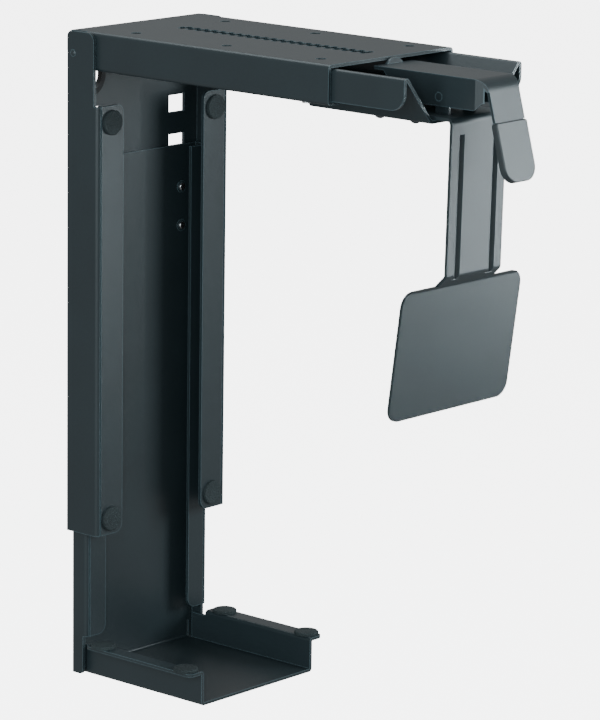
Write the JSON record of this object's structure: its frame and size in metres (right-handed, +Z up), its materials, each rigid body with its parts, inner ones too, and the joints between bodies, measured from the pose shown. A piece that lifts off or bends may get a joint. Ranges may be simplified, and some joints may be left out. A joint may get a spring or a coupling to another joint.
{
  "type": "under-desk computer holder",
  "caption": "Sheet-steel holder that hangs a computer under a desk top: telescopic column with a tray, and a clamp arm on a latched sliding carriage.",
  "frame": {"origin": "middle of the 2 x 3 desk screw holes, on the bracket face that meets the desk", "axes": "+Z up out of the desk face, +X from the column towards the clamp arm, +Y across the bracket (mirror plane Y = 0)"},
  "size_m": [0.3168, 0.128, 0.4106],
  "materials": {
    "powder_coat": "fine matt powder coat, dark slate",
    "rubber": "matt",
    "zinc_steel": "bright zinc",
    "spring_steel": "drawn wire",
    "nylon": "matt moulded",
    "grip_plastic": "satin moulded"
  },
  "bodies": {
    "frame": {"top_bracket": "powder_coat", "upper_column": "powder_coat", "corner_rivets": "powder_coat", "corner_weld": "powder_coat", "cable_grommet": "nylon", "column_bumpers": "rubber", "end_buffers": "rubber", "stop_studs": "zinc_steel"},
    "lower": {"lower_column": "powder_coat", "tray_bumpers": "rubber", "lock_screws": "zinc_steel", "lock_washers": "zinc_steel", "lock_nuts": "powder_coat", "slot_runners": "nylon"},
    "clamp": {"carriage": "powder_coat", "glide_shoes": "nylon", "clamp_arm": "powder_coat", "arm_rivets": "powder_coat", "clamp_bumpers": "rubber", "lever_axle": "powder_coat", "axle_clips": "spring_steel", "lever_spring": "spring_steel"},
    "lever": {"release_lever": "powder_coat", "lever_grip": "grip_plastic"}
  },
  "joints": [
    {"name": "height_slide", "type": "slide", "parent": "frame", "child": "lower", "axis": [0, 0, 1], "range_m": [-0.157, 0.0225]},
    {"name": "width_slide", "type": "slide", "parent": "frame", "child": "clamp", "axis": [1, 0, 0], "range_m": [-0.168, 0]},
    {"name": "lever_pivot", "type": "hinge", "parent": "clamp", "child": "lever", "pos_m": [0.1455, 0, -0.017], "axis": [0, -1, 0], "range_deg": [0, 3.2], "stiffness_Nm_per_rad": 0.9, "springref_deg": -51.57, "deforming": ["lever_spring"]}
  ]
}
